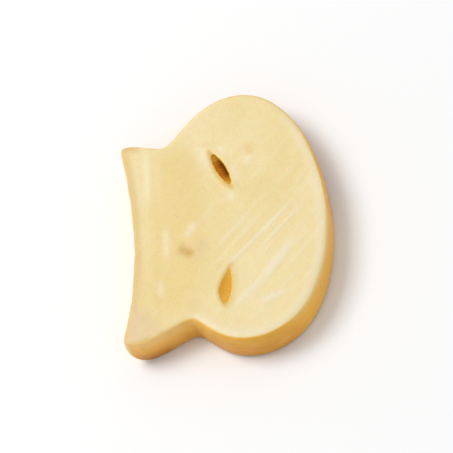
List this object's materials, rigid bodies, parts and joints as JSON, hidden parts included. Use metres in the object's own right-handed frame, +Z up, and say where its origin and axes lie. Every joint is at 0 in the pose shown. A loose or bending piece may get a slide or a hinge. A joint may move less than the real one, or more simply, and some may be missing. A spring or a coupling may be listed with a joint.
{
  "type": "button mushroom slice",
  "caption": "Lengthwise slice of a cooked, closed button mushroom with cap, flared stem and two gill slits, lying flat on its cut face.",
  "frame": {"origin": "middle of the slice's footprint, on the plane of the lower cut face that it lies on", "axes": "+X along the stem from its trimmed base to the crown of the cap, +Y across the cap towards its longer half, +Z up through the thickness"},
  "size_m": [0.0236, 0.0308, 0.0046],
  "materials": {
    "flesh": "satin"
  },
  "bodies": {
    "root": {"mushroom_slice": "flesh"}
  },
  "joints": []
}
